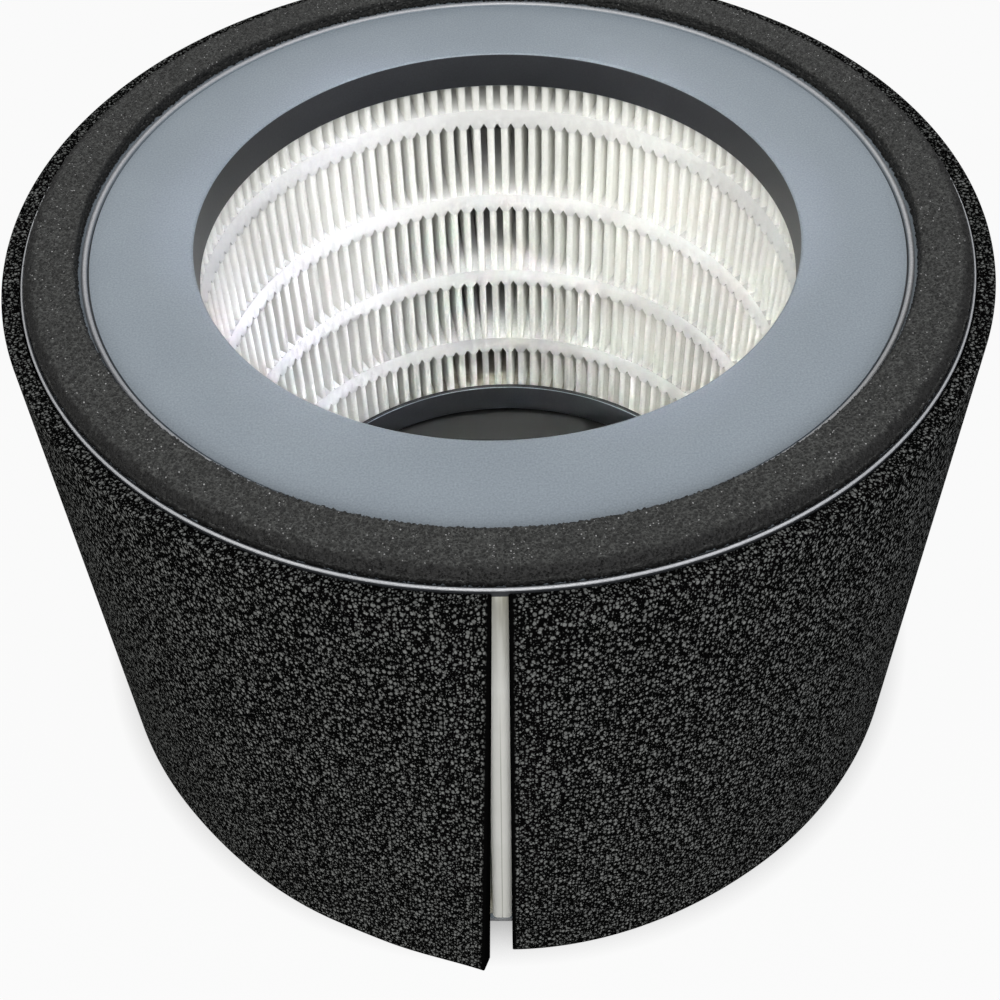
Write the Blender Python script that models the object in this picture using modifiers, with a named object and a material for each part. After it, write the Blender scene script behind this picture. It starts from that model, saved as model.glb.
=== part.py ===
# A round air filter: a pleated white fibre pack between two moulded end caps, a foam gasket
# on each cap, four glue beads that space the pleats, and a thick carbon sheet wrapped round it.
# Units are metres. It stands on its lower gasket at z = 0, centred on the Z axis, and the gap
# between the ends of the wrap faces -Y.

import math

import bmesh
import bpy

MM = 0.001

# Overall
PLATE_SPAN = 119.3 * MM  # from the flat face of one cap to that of the other
BORE_RADIUS = 62.0 * MM
FIT_GAP = 0.3 * MM  # between pieces that touch
RING_STEPS = 60

# End caps
PLATE_THICKNESS = 1.2 * MM
COLLAR_DEPTH = 9.0 * MM
COLLAR_WALL = 1.5 * MM
BORE_EDGE_ROUND = 0.8 * MM
RIM_WIDTH = 0.8 * MM
RIM_RISE = 0.6 * MM
GROOVE_WIDTH = 0.4 * MM
GROOVE_DEPTH = 0.4 * MM
RIDGE_WIDTH = 1.4 * MM
RIDGE_RISE = 0.6 * MM

# Foam gaskets
GASKET_RISE = 3.8 * MM  # how far a gasket stands out from its plate
UPPER_GASKET_WIDTH = 10.1 * MM  # it fills its seat between the ridge and the rim
LOWER_GASKET_WIDTH = 6.7 * MM

# Potting compound between each plate and the pleats
POTTING_DEPTH = 2.5 * MM
POTTING_SETBACK = 0.8 * MM  # from the rim

# Pleated fibre sheet
PLEAT_DEPTH = 31.7 * MM  # from the inner folds to the outer ones
PLEAT_PITCH = 3.34 * MM  # along the inner folds
SHEET_THICKNESS = 0.6 * MM
INNER_FOLD_WIDTH = 1.75 * MM
OUTER_FOLD_SPACING = 1.6 * MM  # between two outer folds
FOLD_ROUND = 0.55 * MM  # how far a fold's middle stands out from its shoulders
OUTER_FOLD_SETBACK = 0.5 * MM  # from the rim
PLEAT_TURN = math.radians(0.75)  # where the first inner fold lies, from +X

# Glue beads on the bore side
BEAD_PITCH = 25.4 * MM
BEAD_HEIGHT = 4.4 * MM
BEAD_PROUD = 0.5 * MM  # thickness of the bead over the inner folds
BEAD_REACH = 14.0 * MM  # how far its teeth reach in between the pleats
TOP_BEAD_DEPTH = 19.4 * MM  # from the upper plate's face to the middle of the first bead

# Carbon wrap
WRAP_THICKNESS = 3.5 * MM
WRAP_TOP_DROP = 0.5 * MM  # its top edge lies this far below the upper plate's face
WRAP_START_TOP = math.radians(-89.8)
WRAP_START_FOOT = math.radians(-90.4)
WRAP_END_TOP = math.radians(268.6)
WRAP_END_FOOT = math.radians(267.4)  # where it would end if it lay on the circle
FREE_END_LENGTH = 35.3 * MM  # at the foot, the sheet leaves the circle and runs straight this far
WRAP_ROWS = 2

# Places that follow from the sizes above
LOWER_PLATE_Z = GASKET_RISE
UPPER_PLATE_Z = GASKET_RISE + PLATE_SPAN
COLLAR_RADIUS = BORE_RADIUS + COLLAR_WALL
INNER_FOLD_RADIUS = COLLAR_RADIUS + FIT_GAP
OUTER_FOLD_RADIUS = INNER_FOLD_RADIUS + PLEAT_DEPTH
RIM_RADIUS = OUTER_FOLD_RADIUS + OUTER_FOLD_SETBACK
UPPER_GASKET_RADIUS = RIM_RADIUS - RIM_WIDTH - FIT_GAP
GASKET_INNER_RADIUS = UPPER_GASKET_RADIUS - UPPER_GASKET_WIDTH
LOWER_GASKET_RADIUS = GASKET_INNER_RADIUS + LOWER_GASKET_WIDTH
RIDGE_RADIUS = GASKET_INNER_RADIUS - FIT_GAP - RIDGE_WIDTH
GROOVE_RADIUS = RIDGE_RADIUS - GROOVE_WIDTH
PLEATS = round(2 * math.pi * INNER_FOLD_RADIUS / PLEAT_PITCH)
OUTER_FOLD_WIDTH = 2 * math.pi * OUTER_FOLD_RADIUS / PLEATS - OUTER_FOLD_SPACING
BEAD_ROOM = PLATE_SPAN - TOP_BEAD_DEPTH - COLLAR_DEPTH - BEAD_HEIGHT
BEADS = 1 + int(BEAD_ROOM / BEAD_PITCH)
PACK_INSET = PLATE_THICKNESS + FIT_GAP + POTTING_DEPTH + FIT_GAP
WRAP_INNER_RADIUS = RIM_RADIUS + FIT_GAP
WRAP_MIDDLE_RADIUS = WRAP_INNER_RADIUS + WRAP_THICKNESS / 2
FREE_END_START = WRAP_END_FOOT - FREE_END_LENGTH / WRAP_MIDDLE_RADIUS


def clear_scene():
    for old in list(bpy.data.objects):
        bpy.data.objects.remove(old, do_unlink=True)


def make_material(name, colour, roughness):
    material = bpy.data.materials.new(name)
    material.use_nodes = True
    shader = material.node_tree.nodes["Principled BSDF"]
    shader.inputs["Base Color"].default_value = (*colour, 1.0)
    shader.inputs["Roughness"].default_value = roughness
    shader.inputs["Metallic"].default_value = 0.0
    return material


def place(name, data, collection, material):
    piece = bpy.data.objects.new(name, data)
    collection.objects.link(piece)
    data.materials.append(material)
    return piece


def turn_profile(name, profile, collection, material):
    """A closed (radius, height) outline, down its outer side first, turned about Z."""
    mesh = bpy.data.meshes.new(name)
    points = [(radius, 0.0, height) for radius, height in profile]
    edges = [(i, (i + 1) % len(points)) for i in range(len(points))]
    mesh.from_pydata(points, edges, [])
    piece = place(name, mesh, collection, material)
    screw = piece.modifiers.new("Turn", "SCREW")
    screw.steps = RING_STEPS
    screw.render_steps = RING_STEPS
    screw.use_merge_vertices = True
    screw.merge_threshold = 0.00001
    screw.use_smooth_shade = True
    return piece


def extrude_outlines(name, outlines, height, collection, material):
    """Flat outlines, the later ones as holes in the first, made into a slab of that height."""
    curve = bpy.data.curves.new(name, "CURVE")
    curve.dimensions = "2D"
    curve.fill_mode = "BOTH"
    curve.extrude = height / 2
    for outline in outlines:
        spline = curve.splines.new("POLY")
        spline.points.add(len(outline) - 1)
        for point, (x, y) in zip(spline.points, outline):
            point.co = (x, y, 0.0, 1.0)
        spline.use_cyclic_u = True
    return place(name, curve, collection, material)


def polar(radius, angle):
    return (radius * math.cos(angle), radius * math.sin(angle))


def cap_profile():
    """Section of an end cap with its flat face at height 0 and its collar below."""
    ridge_out = RIDGE_RADIUS + RIDGE_WIDTH
    chamfer = BORE_EDGE_ROUND * (1 - math.sqrt(0.5))
    return [
        (RIM_RADIUS - RIM_WIDTH, RIM_RISE),
        (RIM_RADIUS, RIM_RISE),
        (RIM_RADIUS, -PLATE_THICKNESS),
        (COLLAR_RADIUS, -PLATE_THICKNESS),
        (COLLAR_RADIUS, -COLLAR_DEPTH),
        (BORE_RADIUS, -COLLAR_DEPTH),
        (BORE_RADIUS, -BORE_EDGE_ROUND),
        (BORE_RADIUS + chamfer, -chamfer),
        (BORE_RADIUS + BORE_EDGE_ROUND, 0.0),
        (GROOVE_RADIUS, 0.0),
        (GROOVE_RADIUS, -GROOVE_DEPTH),
        (RIDGE_RADIUS, -GROOVE_DEPTH),
        (RIDGE_RADIUS, RIDGE_RISE),
        (ridge_out, RIDGE_RISE),
        (ridge_out, 0.0),
        (RIM_RADIUS - RIM_WIDTH, 0.0),
    ]


def ring_profile(inner, outer, low, high):
    return [(inner, high), (outer, high), (outer, low), (inner, low)]


def turn_over(piece):
    """Turns a piece made for the upper end over, to make its twin at the lower end."""
    piece.rotation_euler = (math.pi, 0.0, 0.0)


def make_end_caps(collection, material):
    upper = turn_profile("top_end_cap", cap_profile(), collection, material)
    upper.location.z = UPPER_PLATE_Z
    lower = turn_profile("bottom_end_cap", cap_profile(), collection, material)
    turn_over(lower)
    lower.location.z = LOWER_PLATE_Z


def make_gaskets(collection, material):
    section = ring_profile(GASKET_INNER_RADIUS, UPPER_GASKET_RADIUS, FIT_GAP, GASKET_RISE)
    upper = turn_profile("top_foam_gasket", section, collection, material)
    upper.location.z = UPPER_PLATE_Z
    section = ring_profile(GASKET_INNER_RADIUS, LOWER_GASKET_RADIUS, FIT_GAP, GASKET_RISE)
    lower = turn_profile("bottom_foam_gasket", section, collection, material)
    turn_over(lower)
    lower.location.z = LOWER_PLATE_Z


def make_potting(collection, material):
    inner = COLLAR_RADIUS + FIT_GAP
    outer = RIM_RADIUS - POTTING_SETBACK
    high = -PLATE_THICKNESS - FIT_GAP
    section = ring_profile(inner, outer, high - POTTING_DEPTH, high)
    upper = turn_profile("top_potting_ring", section, collection, material)
    upper.location.z = UPPER_PLATE_Z
    lower = turn_profile("bottom_potting_ring", section, collection, material)
    turn_over(lower)
    lower.location.z = LOWER_PLATE_Z


def fold(radius, width, middle, round_out):
    """Three points across one fold: two shoulders and the crown between them, which stands out."""
    half = math.asin(width / 2 / radius)
    shoulder = radius - round_out
    return [
        polar(shoulder, middle - half),
        polar(radius, middle),
        polar(shoulder, middle + half),
    ]


def pleat_outlines():
    """The sheet's outer face and its bore face, round all the pleats."""
    outer_face = []
    bore_face = []
    step = 2 * math.pi / PLEATS
    outer_root = INNER_FOLD_RADIUS + SHEET_THICKNESS
    bore_root = OUTER_FOLD_RADIUS - SHEET_THICKNESS
    for k in range(PLEATS):
        inner_fold = PLEAT_TURN + k * step
        outer_fold = inner_fold + step / 2
        outer_face.append(polar(outer_root, inner_fold))
        outer_face += fold(OUTER_FOLD_RADIUS, OUTER_FOLD_WIDTH, outer_fold, FOLD_ROUND)
        bore_face += fold(INNER_FOLD_RADIUS, INNER_FOLD_WIDTH, inner_fold, -FOLD_ROUND)
        bore_face.append(polar(bore_root, outer_fold))
    return outer_face, bore_face


def make_media(collection, material):
    low = LOWER_PLATE_Z + PACK_INSET
    high = UPPER_PLATE_Z - PACK_INSET
    media = extrude_outlines("pleated_media", pleat_outlines(), high - low, collection, material)
    media.location.z = (low + high) / 2


def bead_outlines():
    """A thin band in front of the inner folds, with a tooth that reaches in between each two."""
    toothed = []
    bore = []
    step = 2 * math.pi / PLEATS
    front = INNER_FOLD_RADIUS - FIT_GAP
    mouth = step / 2 - math.asin((INNER_FOLD_WIDTH / 2 + FIT_GAP) / front)
    for k in range(PLEATS):
        valley = PLEAT_TURN + (k + 0.5) * step
        toothed.append(polar(front, valley - mouth))
        toothed.append(polar(front + BEAD_REACH, valley))
        toothed.append(polar(front, valley + mouth))
    for k in range(RING_STEPS):
        bore.append(polar(front - BEAD_PROUD, PLEAT_TURN + k * 2 * math.pi / RING_STEPS))
    return toothed, bore


def make_glue_beads(collection, material):
    for number in range(BEADS):
        name = f"glue_bead_{number + 1}"
        bead = extrude_outlines(name, bead_outlines(), BEAD_HEIGHT, collection, material)
        bead.location.z = UPPER_PLATE_Z - TOP_BEAD_DEPTH - number * BEAD_PITCH


def wrap_point(radius, along, down):
    """A point of the wrap: along runs from 0 at one end to 1 at the other, down from top to foot."""
    top_angle = WRAP_START_TOP + along * (WRAP_END_TOP - WRAP_START_TOP)
    top = polar(radius, top_angle)
    foot_angle = WRAP_START_FOOT + along * (WRAP_END_FOOT - WRAP_START_FOOT)
    held_angle = min(foot_angle, FREE_END_START)
    straight = (foot_angle - held_angle) * WRAP_MIDDLE_RADIUS
    foot_x, foot_y = polar(radius, held_angle)
    foot_x -= straight * math.sin(held_angle)
    foot_y += straight * math.cos(held_angle)
    return (top[0] + down * (foot_x - top[0]), top[1] + down * (foot_y - top[1]))


def make_wrap(collection, material):
    """The sheet's inner face as a grid, bent round the caps, then given its thickness outwards."""
    top = UPPER_PLATE_Z - WRAP_TOP_DROP
    grid = bmesh.new()
    bmesh.ops.create_grid(grid, x_segments=RING_STEPS, y_segments=WRAP_ROWS, size=1.0)
    for vertex in grid.verts:
        along = (vertex.co.x + 1) / 2
        down = (1 - vertex.co.y) / 2
        x, y = wrap_point(WRAP_INNER_RADIUS, along, down)
        vertex.co = (x, y, top * (1 - down))
    bmesh.ops.recalc_face_normals(grid, faces=grid.faces)
    grid.faces.ensure_lookup_table()
    centre = grid.faces[0].calc_center_median()
    if grid.faces[0].normal.xy.dot(centre.xy) < 0:
        bmesh.ops.reverse_faces(grid, faces=grid.faces)
    mesh = bpy.data.meshes.new("carbon_wrap")
    grid.to_mesh(mesh)
    grid.free()
    mesh.shade_smooth()
    wrap = place("carbon_wrap", mesh, collection, material)
    wall = wrap.modifiers.new("Thickness", "SOLIDIFY")
    wall.thickness = WRAP_THICKNESS
    wall.offset = 1.0
    wall.use_even_offset = True


def build():
    clear_scene()
    collection = bpy.data.collections.new("air_purifier_filter")
    bpy.context.scene.collection.children.link(collection)
    cap_plastic = make_material("cap_plastic", (0.27, 0.32, 0.37), 0.45)
    foam = make_material("gasket_foam", (0.035, 0.035, 0.037), 0.95)
    potting = make_material("potting_compound", (0.55, 0.53, 0.46), 0.5)
    fibre = make_material("pleat_fibre", (0.82, 0.82, 0.79), 0.9)
    glue = make_material("hot_melt_glue", (0.86, 0.86, 0.84), 0.4)
    carbon = make_material("carbon_sheet", (0.015, 0.015, 0.015), 0.85)
    make_end_caps(collection, cap_plastic)
    make_gaskets(collection, foam)
    make_potting(collection, potting)
    make_media(collection, fibre)
    make_glue_beads(collection, glue)
    make_wrap(collection, carbon)


build()
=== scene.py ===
# %% Load the fixed frame
import math
import random

import bmesh
import bpy
from mathutils import Matrix, Vector


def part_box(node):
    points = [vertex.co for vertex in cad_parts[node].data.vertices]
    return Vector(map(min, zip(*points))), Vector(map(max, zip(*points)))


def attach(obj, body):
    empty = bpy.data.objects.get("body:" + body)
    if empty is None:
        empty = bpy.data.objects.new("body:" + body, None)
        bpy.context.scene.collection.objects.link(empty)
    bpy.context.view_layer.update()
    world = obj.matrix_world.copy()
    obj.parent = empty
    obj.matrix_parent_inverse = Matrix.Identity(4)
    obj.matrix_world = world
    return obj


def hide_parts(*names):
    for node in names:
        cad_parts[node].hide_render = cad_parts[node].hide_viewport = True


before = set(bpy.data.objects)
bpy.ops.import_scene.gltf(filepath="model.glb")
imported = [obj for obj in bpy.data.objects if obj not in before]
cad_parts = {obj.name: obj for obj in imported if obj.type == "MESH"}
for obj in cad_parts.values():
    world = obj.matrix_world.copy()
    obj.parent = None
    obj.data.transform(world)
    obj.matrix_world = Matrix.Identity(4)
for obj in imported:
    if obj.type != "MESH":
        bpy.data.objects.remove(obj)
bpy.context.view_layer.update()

MM = 0.001
print("solids loaded:", sorted(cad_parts))

# %% [markdown]
# ## Reading the places of the solids
# The solids that were just loaded say where everything is. On the real filter the two end
# caps set all other places: the pleats, the beads and the wrap lie between or around them.
# So the few places used again and again are read off the caps, and the rest of the script
# is written in real millimetres from there. Typing the same numbers twice would also work,
# but then the looks and the solids could drift apart.

# %% Places read from the frame
RIM_RISE = 0.6 * MM
top_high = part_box("top_end_cap")[1]
foot_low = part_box("bottom_end_cap")[0]
UPPER_FACE = top_high.z - RIM_RISE
LOWER_FACE = foot_low.z + RIM_RISE
RIM_RADIUS = top_high.x
BODY = "root"
print(f"upper face {UPPER_FACE / MM:.1f} mm, lower face {LOWER_FACE / MM:.1f} mm")
print(f"rim radius {RIM_RADIUS / MM:.1f} mm")

# %% [markdown]
# ## The camera
# The filter was photographed from above and in front with a phone held close, so near things
# look much larger than far ones. A camera could be dragged about by eye, but circles are a
# gift: the ellipses of the rim, the bore and the collars give the height, the distance and
# the focal length. The camera stands on a line that rises from the middle of the upper face,
# and is then turned a little, because the picture was not centred on the filter.

# %% Camera
CAMERA_REACH = 306.4 * MM
CAMERA_RISE = math.radians(38.31)
CAMERA_PAN = math.radians(-0.10)
CAMERA_TILT = math.radians(8.92)
CAMERA_ROLL = math.radians(1.54)
CAMERA_LENS = 52.96
CAMERA_SHIFT_UP = -0.05


def add_camera():
    data = bpy.data.cameras.new("portrait_camera")
    data.lens = CAMERA_LENS
    data.sensor_width = 36.0
    data.shift_y = CAMERA_SHIFT_UP
    data.clip_start = 0.01
    camera = bpy.data.objects.new("portrait_camera", data)
    bpy.context.scene.collection.objects.link(camera)
    back = Vector((0, -math.cos(CAMERA_RISE), math.sin(CAMERA_RISE)))
    place = Vector((0, 0, UPPER_FACE)) + back * CAMERA_REACH
    turn = Matrix.Rotation(math.pi / 2 - CAMERA_RISE, 4, "X")
    turn = turn @ Matrix.Rotation(-CAMERA_PAN, 4, "Y")
    turn = turn @ Matrix.Rotation(-CAMERA_TILT, 4, "X")
    turn = turn @ Matrix.Rotation(-CAMERA_ROLL, 4, "Z")
    camera.matrix_world = Matrix.Translation(place) @ turn
    bpy.context.scene.camera = camera
    return camera


camera = add_camera()
bpy.context.scene.view_settings.view_transform = "Standard"
print("camera at", [round(v / MM) for v in camera.matrix_world.translation], "mm")

# %% [markdown]
# ## Small tools for node materials
# A material is a chain of nodes. Wiring them one by one by hand is fine for one material,
# but this filter needs eight, so a few short helpers do the typing: they make the material
# with its Principled shader, add a node with its settings, mix two colours, turn a value into
# a slope, combine two values, and add a bump.

# %% Material helpers
def new_material(name, roughness, specular):
    """A Principled material; values that are the same all over are set on the shader itself."""
    material = bpy.data.materials.new(name)
    material.use_nodes = True
    shader = material.node_tree.nodes["Principled BSDF"]
    shader.inputs["Roughness"].default_value = roughness
    shader.inputs["Specular IOR Level"].default_value = specular
    return material, shader


def add_node(material, kind, inputs=None, **settings):
    """Adds a node; inputs are values or the output sockets of other nodes."""
    tree = material.node_tree
    node = tree.nodes.new(kind)
    for key, value in settings.items():
        setattr(node, key, value)
    for key, value in (inputs or {}).items():
        if isinstance(value, bpy.types.NodeSocket):
            tree.links.new(value, node.inputs[key])
        else:
            node.inputs[key].default_value = value
    return node


def wire(material, source, target):
    material.node_tree.links.new(source, target)


def mix_colours(material, factor, first, second):
    """The first colour where the factor is 0, the second where it is 1."""
    node = add_node(material, "ShaderNodeMix", data_type="RGBA")
    for socket, value in zip((node.inputs[0], node.inputs[6], node.inputs[7]), (factor, first, second)):
        if isinstance(value, bpy.types.NodeSocket):
            wire(material, value, socket)
        else:
            socket.default_value = value
    return node.outputs[2]


def ramp_between(material, source, low, high, at_low=0.0, at_high=1.0):
    """at_low up to low, at_high from high on, and an even slope between."""
    limits = {"From Min": low, "From Max": high, "To Min": at_low, "To Max": at_high}
    return add_node(material, "ShaderNodeMapRange", {"Value": source, **limits}).outputs["Result"]


def combine(material, first, second, operation="MULTIPLY"):
    """The product of two numbers, or what another operation makes of them."""
    return add_node(material, "ShaderNodeMath", {0: first, 1: second}, operation=operation).outputs[0]


def combine_places(material, first, second, operation="MULTIPLY"):
    """The same for two places or directions, number by number."""
    return add_node(material, "ShaderNodeVectorMath", {0: first, 1: second}, operation=operation).outputs[0]


def add_bump(material, shader, height, distance, strength=1.0):
    inputs = {"Height": height, "Distance": distance, "Strength": strength}
    node = add_node(material, "ShaderNodeBump", inputs)
    wire(material, node.outputs["Normal"], shader.inputs["Normal"])


# %% [markdown]
# ## Floor, backdrop and light
# The photograph has a pure white ground with no horizon. A very strong lamp could burn the
# floor out, but it would burn out the white pleats too. Instead the floor is a pale sheet
# that shows partly as plain white to the camera, and keeps the soft shadow of the filter in
# the rest. Under the filter itself the paper is dark grey, so that the bore is not lit from
# below. The world does the same as the floor: white where the camera or a shiny surface looks
# at it, and a dimmer, even fill where it only gives light.

# %% World and floor
WORLD_FILL = 0.18
FLOOR_WIDTH = 6.0
FLOOR_WHITE_SHARE = 0.93
FOOTPRINT = 0.105
FOOTPRINT_FADE = 0.02


def set_world():
    world = bpy.data.worlds.new("white_studio")
    world.use_nodes = True
    bpy.context.scene.world = world
    tree = world.node_tree
    tree.nodes.clear()
    fill = tree.nodes.new("ShaderNodeBackground")
    fill.inputs["Color"].default_value = (0.97, 0.985, 1.0, 1.0)
    fill.inputs["Strength"].default_value = WORLD_FILL
    white = tree.nodes.new("ShaderNodeBackground")
    white.inputs["Color"].default_value = (1.0, 1.0, 1.0, 1.0)
    path = tree.nodes.new("ShaderNodeLightPath")
    seen = tree.nodes.new("ShaderNodeMath")
    seen.operation = "MAXIMUM"
    seen_all = tree.nodes.new("ShaderNodeMath")
    seen_all.operation = "MAXIMUM"
    mix = tree.nodes.new("ShaderNodeMixShader")
    out = tree.nodes.new("ShaderNodeOutputWorld")
    tree.links.new(path.outputs["Is Camera Ray"], seen.inputs[0])
    tree.links.new(path.outputs["Is Glossy Ray"], seen.inputs[1])
    tree.links.new(seen.outputs[0], seen_all.inputs[0])
    tree.links.new(path.outputs["Is Transmission Ray"], seen_all.inputs[1])
    tree.links.new(seen_all.outputs[0], mix.inputs[0])
    tree.links.new(fill.outputs[0], mix.inputs[1])
    tree.links.new(white.outputs[0], mix.inputs[2])
    tree.links.new(mix.outputs[0], out.inputs["Surface"])


def floor_material():
    """Pale and matt; outside the filter's own footprint most of it is plain white to the camera."""
    material, shader = new_material("floor_paper", 0.9, 0.1)
    spot = add_node(material, "ShaderNodeTexCoord")
    away = add_node(material, "ShaderNodeVectorMath", {0: spot.outputs["Object"]}, operation="LENGTH")
    outside = ramp_between(material, away.outputs["Value"], FOOTPRINT - FOOTPRINT_FADE, FOOTPRINT)
    paper = mix_colours(material, outside, (0.045, 0.045, 0.045, 1.0), (0.50, 0.50, 0.50, 1.0))
    wire(material, paper, shader.inputs["Base Color"])
    path = add_node(material, "ShaderNodeLightPath")
    seen = combine(material, path.outputs["Is Camera Ray"], outside)
    share = combine(material, seen, FLOOR_WHITE_SHARE)
    white = add_node(material, "ShaderNodeEmission")
    shaders = {0: share, 1: shader.outputs[0], 2: white.outputs[0]}
    mix = add_node(material, "ShaderNodeMixShader", shaders)
    wire(material, mix.outputs[0], material.node_tree.nodes["Material Output"].inputs["Surface"])
    return material


def add_floor():
    bpy.ops.object.select_all(action="DESELECT")
    bpy.ops.mesh.primitive_plane_add(size=FLOOR_WIDTH, location=(0, 0, 0))
    floor = bpy.context.object
    floor.name = "studio_floor"
    floor.data.materials.append(floor_material())
    return floor


set_world()
floor = add_floor()
print("floor", floor.dimensions.x, "m wide")

# %% [markdown]
# ## Lamps
# The cap looks evenly lit, the front of the rim has a thin white glint, and the left inside
# of the bore is cool while the right inside is warm. A large softbox high in front gives the
# main light and the glint, two more at its sides even it out, and a weak one at the back
# lifts the far edge. The lamps on the right are a little cooler, because they light the left
# inside. Little of all this gets down into the bore. Three small lamps with grids, which keep
# their light in a narrow beam, are aimed through the opening. Making the softboxes stronger
# would also reach in there, but it would burn out the upper pleats and the plate.

# %% Softboxes
def add_softbox(name, place, aim, width, depth, power, colour, spread=180):
    data = bpy.data.lights.new(name, "AREA")
    data.spread = math.radians(spread)
    data.shape = "RECTANGLE"
    data.size = width
    data.size_y = depth
    data.energy = power
    data.color = colour
    lamp = bpy.data.objects.new(name, data)
    bpy.context.scene.collection.objects.link(lamp)
    lamp.location = place
    lamp.rotation_euler = (Vector(aim) - Vector(place)).to_track_quat("-Z", "Y").to_euler()
    return lamp


MIDDLE = Vector((0.0, 0.0, 0.08))
LAMP_REACH = 1.3


def around(turn, rise, middle=MIDDLE, reach=LAMP_REACH):
    """A place round the filter: the turn is 0 at the front and grows to the right."""
    turn, rise = math.radians(turn), math.radians(rise)
    flat = reach * math.cos(rise)
    return middle + Vector((flat * math.sin(turn), -flat * math.cos(turn), reach * math.sin(rise)))


add_softbox("front_softbox", around(0, 36), MIDDLE, 0.8, 0.8, 11.3, (1.0, 0.99, 0.97))
add_softbox("cool_side", around(52, 42), MIDDLE, 0.8, 0.8, 5.2, (0.92, 0.94, 1.0))
add_softbox("warm_side", around(-52, 42), MIDDLE, 0.8, 0.8, 4.9, (1.0, 0.99, 0.94))
add_softbox("back_softbox", around(180, 45), MIDDLE, 1.2, 0.5, 1.8, (1.0, 1.0, 1.0))

OPENING = Vector((0.0, 0.0, UPPER_FACE))
GRID_REACH = 0.55
GRID_WIDTH = 0.07
GRID_SPREAD = 5
for name, turn, rise, power, colour in (
    ("grid_front", 0, 61, 0.016, (1.0, 1.0, 0.97)),
    ("grid_right", 60, 50, 0.021, (0.91, 0.90, 1.0)),
    ("grid_left", -60, 50, 0.021, (1.0, 1.0, 0.95)),
):
    place = around(turn, rise, OPENING, GRID_REACH)
    add_softbox(name, place, OPENING, GRID_WIDTH, GRID_WIDTH, power, colour, GRID_SPREAD)

# %% [markdown]
# ## Selecting and shaping as by hand
# In edit mode everything happens to what is selected. With no mouse, the selection is made by
# asking each vertex, edge or face where its middle lies. A turned part is traced ring by ring:
# one circle of edges is extruded, sized and lifted to the next corner of the section, and at
# the end the last ring is bridged to the first. A lathe-like Spin of a drawn section would
# give the same shape, but the rings stay easy to select later, for their bevels.

# %% Modelling helpers
NEAR = 0.001 * MM
CHORD_SAG = 0.03 * MM
CHORD_SHARE = 0.0001


def pick(kind, test):
    """Selects the vertices, edges or faces whose middle passes the test, and nothing else."""
    bpy.ops.mesh.select_mode(type=kind)
    bpy.ops.mesh.select_all(action="DESELECT")
    mesh = bmesh.from_edit_mesh(bpy.context.object.data)
    items = {"VERT": mesh.verts, "EDGE": mesh.edges, "FACE": mesh.faces}[kind]
    count = 0
    for item in items:
        if kind == "VERT":
            middle = item.co
        elif kind == "EDGE":
            middle = (item.verts[0].co + item.verts[1].co) / 2
        else:
            middle = item.calc_center_median()
        if test(middle):
            item.select_set(True)
            count += 1
    bmesh.update_edit_mesh(bpy.context.object.data)
    return count


def name_piece(name):
    piece = bpy.context.object
    piece.name = name
    piece.data.name = name
    return piece


def apply_all(piece):
    """Applies every modifier, first to last."""
    bpy.ops.object.select_all(action="DESELECT")
    piece.select_set(True)
    bpy.context.view_layer.objects.active = piece
    for modifier in list(piece.modifiers):
        bpy.ops.object.modifier_apply(modifier=modifier.name)


def start_ring(name, radius, height, steps):
    bpy.ops.object.select_all(action="DESELECT")
    bpy.ops.mesh.primitive_circle_add(vertices=steps, radius=radius, location=(0, 0, height))
    piece = name_piece(name)
    bpy.ops.object.transform_apply(location=True, rotation=True, scale=True)
    bpy.ops.object.mode_set(mode="EDIT")
    bpy.ops.mesh.select_all(action="SELECT")
    return piece


def ring_to(old, new):
    """Extrudes the selected ring from one (radius, height) of the section to the next."""
    bpy.ops.mesh.extrude_edges_move()
    grow = new[0] / old[0]
    if abs(grow - 1) > 1e-9:
        bpy.ops.transform.resize(value=(grow, grow, 1), center_override=(0, 0, 0))
    if abs(new[1] - old[1]) > 1e-9:
        bpy.ops.transform.translate(value=(0, 0, new[1] - old[1]))


def trace_rings(name, section, steps):
    """Traces a closed (radius, height) section ring by ring, and bridges the last to the first."""
    piece = start_ring(name, *section[0], steps)
    for old, new in zip(section, section[1:]):
        ring_to(old, new)
    first, last = section[0], section[-1]

    def on_end(middle):
        radius = math.hypot(middle.x, middle.y)
        at_first = abs(middle.z - first[1]) < NEAR and abs(radius - first[0]) < CHORD_SHARE * first[0]
        at_last = abs(middle.z - last[1]) < NEAR and abs(radius - last[0]) < CHORD_SHARE * last[0]
        return at_first or at_last

    pick("EDGE", on_end)
    bpy.ops.mesh.bridge_edge_loops()
    bpy.ops.mesh.select_all(action="SELECT")
    bpy.ops.mesh.normals_make_consistent(inside=False)
    return piece


def round_rings(radius, height, width, segments):
    """Bevels the ring of edges at that (radius, height)."""
    def on_ring(middle):
        away = abs(math.hypot(middle.x, middle.y) - radius)
        return away < CHORD_SAG and abs(middle.z - height) < NEAR

    count = pick("EDGE", on_ring)
    bpy.ops.mesh.bevel(offset=width, segments=segments, affect="EDGES")
    return count


def finish_piece(piece, material, nodes):
    """Back to object mode, with its finish, attached to the body, and with the solids that it stands for
    hidden.
    """
    if bpy.context.object.mode == "EDIT":
        bpy.ops.object.mode_set(mode="OBJECT")
    piece.data.materials.clear()
    piece.data.materials.append(material)
    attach(piece, BODY)
    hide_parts(*nodes)
    print(piece.name, len(piece.data.polygons), "faces")
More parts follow.
